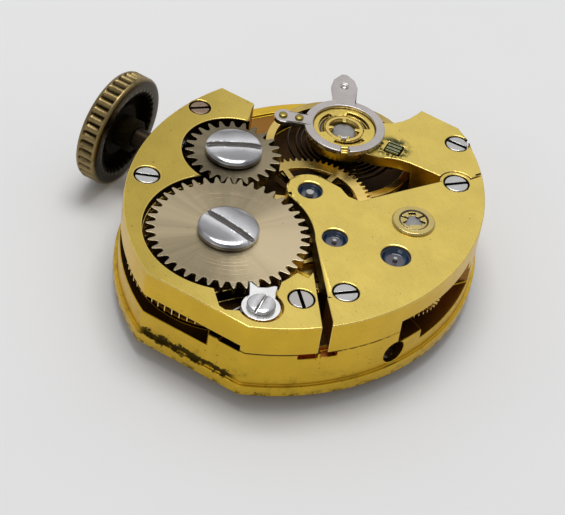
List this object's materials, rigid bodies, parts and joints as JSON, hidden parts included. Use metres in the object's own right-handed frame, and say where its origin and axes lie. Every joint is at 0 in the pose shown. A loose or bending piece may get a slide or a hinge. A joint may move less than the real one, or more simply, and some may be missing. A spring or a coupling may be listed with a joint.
{
  "type": "watch movement",
  "caption": "Small hand-wound mechanical watch movement with winding crown, barrel, going train, lever escapement, balance and hand-setting works under separate gilt bridges.",
  "frame": {"origin": "on the axis of the hands, in the plane of the dial seat", "axes": "+Z from the dial side to the bridge side, -X out along the winding stem, +Y towards the balance"},
  "size_m": [0.0153, 0.0143, 0.0043],
  "materials": {
    "gilt_plate": "satin gilt",
    "steel": "polished and brushed",
    "dark_steel": "hardened, dark",
    "train_brass": "gilt",
    "jewel": "polished",
    "cap_jewel": "polished",
    "crown_metal": "worn and tarnished",
    "hairspring": "blued"
  },
  "bodies": {
    "frame": {"mainplate": "gilt_plate", "barrel_bridge": "gilt_plate", "train_bridge": "gilt_plate", "balance_cock": "gilt_plate", "pallet_bridge": "gilt_plate", "bridge_screws": "steel", "pallet_bridge_screw": "steel", "bridge_jewels": "jewel", "plate_jewels": "jewel", "escape_setting": "gilt_plate", "escape_clip": "train_brass", "cap_jewels": "cap_jewel", "shock_blocks": "train_brass", "shock_springs": "train_brass", "hairspring_stud": "dark_steel", "crown_wheel_core": "steel", "crown_wheel_screw": "steel", "click_screw": "steel", "click_spring": "steel", "keyless_cover": "steel", "keyless_screws": "steel", "yoke_spring": "dark_steel", "hairspring": "hairspring"},
    "winding_pinion_body": {"winding_pinion": "steel"},
    "stem_and_crown": {"winding_stem": "dark_steel", "crown": "crown_metal"},
    "clutch_body": {"clutch": "steel"},
    "crown_wheel_body": {"crown_wheel": "steel"},
    "ratchet_body": {"ratchet_wheel": "steel", "ratchet_screw": "steel", "barrel_arbor": "steel"},
    "click_body": {"click": "steel"},
    "yoke_body": {"yoke": "dark_steel"},
    "setting_lever_body": {"setting_lever": "dark_steel"},
    "barrel_body": {"barrel_drum": "train_brass", "barrel_cover": "train_brass", "mainspring": "dark_steel"},
    "centre_body": {"centre_wheel": "train_brass", "centre_pinion": "steel"},
    "third_body": {"third_wheel": "train_brass", "third_pinion": "steel"},
    "fourth_body": {"fourth_wheel": "train_brass", "fourth_pinion": "steel"},
    "escape_body": {"escape_wheel": "steel", "escape_pinion": "steel"},
    "pallet_body": {"pallet_fork": "steel", "pallet_stones": "jewel", "pallet_arbor": "steel"},
    "balance_body": {"balance_wheel": "train_brass", "balance_staff": "steel", "roller": "steel", "impulse_jewel": "jewel", "hairspring_collet": "train_brass"},
    "regulator_body": {"regulator": "steel", "curb_pins": "train_brass"},
    "setting_wheel_body": {"setting_wheel": "steel"},
    "minute_wheel_body": {"minute_wheel": "train_brass"},
    "cannon_body": {"cannon_pinion": "steel"},
    "hour_body": {"hour_wheel": "train_brass"}
  },
  "joints": [
    {"name": "crown_turn", "type": "hinge", "parent": "frame", "child": "winding_pinion_body", "pos_m": [-0.00505, 0, 0.00155], "axis": [1, 0, 0], "continuous": true},
    {"name": "crown_pull", "type": "slide", "parent": "winding_pinion_body", "child": "stem_and_crown", "axis": [-1, 0, 0], "range_m": [0, 0.00035]},
    {"name": "clutch_slide", "type": "slide", "parent": "winding_pinion_body", "child": "clutch_body", "axis": [1, 0, 0], "range_m": [0, 0.00035]},
    {"name": "setting_lever_turn", "type": "hinge", "parent": "frame", "child": "setting_lever_body", "pos_m": [-0.00545, -0.00175, 0.00059], "axis": [0, 0, 1], "range_deg": [-0.5, 16]},
    {"name": "yoke_turn", "type": "hinge", "parent": "frame", "child": "yoke_body", "pos_m": [-0.00366, -0.002, 0.00059], "axis": [0, 0, 1], "range_deg": [-15, 0.5]},
    {"name": "crown_wheel_turn", "type": "hinge", "parent": "frame", "child": "crown_wheel_body", "pos_m": [-0.00329, 0, 0.00287], "axis": [0, 0, 1], "continuous": true},
    {"name": "ratchet_turn", "type": "hinge", "parent": "frame", "child": "ratchet_body", "pos_m": [-0.0011, -0.00376, 0.00294], "axis": [0, 0, 1], "continuous": true},
    {"name": "click_turn", "type": "hinge", "parent": "frame", "child": "click_body", "pos_m": [0.00185, -0.00625, 0.00295], "axis": [0, 0, 1], "range_deg": [0, 9], "stiffness_Nm_per_rad": 0.0000002, "springref_deg": -20.05},
    {"name": "centre_turn", "type": "hinge", "parent": "frame", "child": "centre_body", "pos_m": [0, 0, 0.0025], "axis": [0, 0, 1], "continuous": true},
    {"name": "barrel_turn", "type": "hinge", "parent": "frame", "child": "barrel_body", "pos_m": [-0.0011, -0.00376, 0.00155], "axis": [0, 0, 1], "continuous": true},
    {"name": "third_turn", "type": "hinge", "parent": "frame", "child": "third_body", "pos_m": [0.00201, -0.00162, 0.0022], "axis": [0, 0, 1], "continuous": true},
    {"name": "fourth_turn", "type": "hinge", "parent": "frame", "child": "fourth_body", "pos_m": [0.00418, -0.00104, 0.0019], "axis": [0, 0, 1], "continuous": true},
    {"name": "escape_turn", "type": "hinge", "parent": "frame", "child": "escape_body", "pos_m": [0.00378, 0.00091, 0.00145], "axis": [0, 0, 1], "continuous": true},
    {"name": "cannon_turn", "type": "hinge", "parent": "frame", "child": "cannon_body", "pos_m": [0, 0, 0.0005], "axis": [0, 0, 1], "continuous": true},
    {"name": "minute_wheel_turn", "type": "hinge", "parent": "frame", "child": "minute_wheel_body", "pos_m": [-0.00077, 0.00157, 0.0007], "axis": [0, 0, 1], "continuous": true},
    {"name": "hour_turn", "type": "hinge", "parent": "frame", "child": "hour_body", "pos_m": [0, 0, 0.0002], "axis": [0, 0, 1], "continuous": true},
    {"name": "setting_wheel_turn", "type": "hinge", "parent": "frame", "child": "setting_wheel_body", "pos_m": [-0.0019, 0, 0.00085], "axis": [0, 0, 1], "continuous": true},
    {"name": "pallet_turn", "type": "hinge", "parent": "frame", "child": "pallet_body", "pos_m": [0.0023, 0.00181, 0.00145], "axis": [0, 0, 1], "range_deg": [-5, 5]},
    {"name": "balance_turn", "type": "hinge", "parent": "frame", "child": "balance_body", "pos_m": [-0.0008, 0.0037, 0.002], "axis": [0, 0, 1], "range_deg": [-270, 270], "stiffness_Nm_per_rad": 0.00000008},
    {"name": "regulator_turn", "type": "hinge", "parent": "frame", "child": "regulator_body", "pos_m": [-0.0008, 0.0037, 0.0032], "axis": [0, 0, 1], "range_deg": [-18, 18]}
  ],
  "couplings": [
    {"joint": "clutch_slide", "follows": "crown_pull", "ratio": 1},
    {"joint": "setting_lever_turn", "follows": "crown_pull", "rad_per_m": 738.02},
    {"joint": "yoke_turn", "follows": "crown_pull", "rad_per_m": -700.62},
    {"joint": "crown_wheel_turn", "follows": "crown_turn", "ratio": 0.58333},
    {"joint": "ratchet_turn", "follows": "crown_turn", "ratio": -0.34146},
    {"joint": "barrel_turn", "follows": "centre_turn", "ratio": -0.16667},
    {"joint": "third_turn", "follows": "centre_turn", "ratio": -8},
    {"joint": "fourth_turn", "follows": "centre_turn", "ratio": 60},
    {"joint": "escape_turn", "follows": "centre_turn", "ratio": -600},
    {"joint": "cannon_turn", "follows": "centre_turn", "ratio": 1},
    {"joint": "minute_wheel_turn", "follows": "centre_turn", "ratio": -0.33333},
    {"joint": "hour_turn", "follows": "centre_turn", "ratio": 0.083333},
    {"joint": "setting_wheel_turn", "follows": "centre_turn", "ratio": 0.70588}
  ]
}
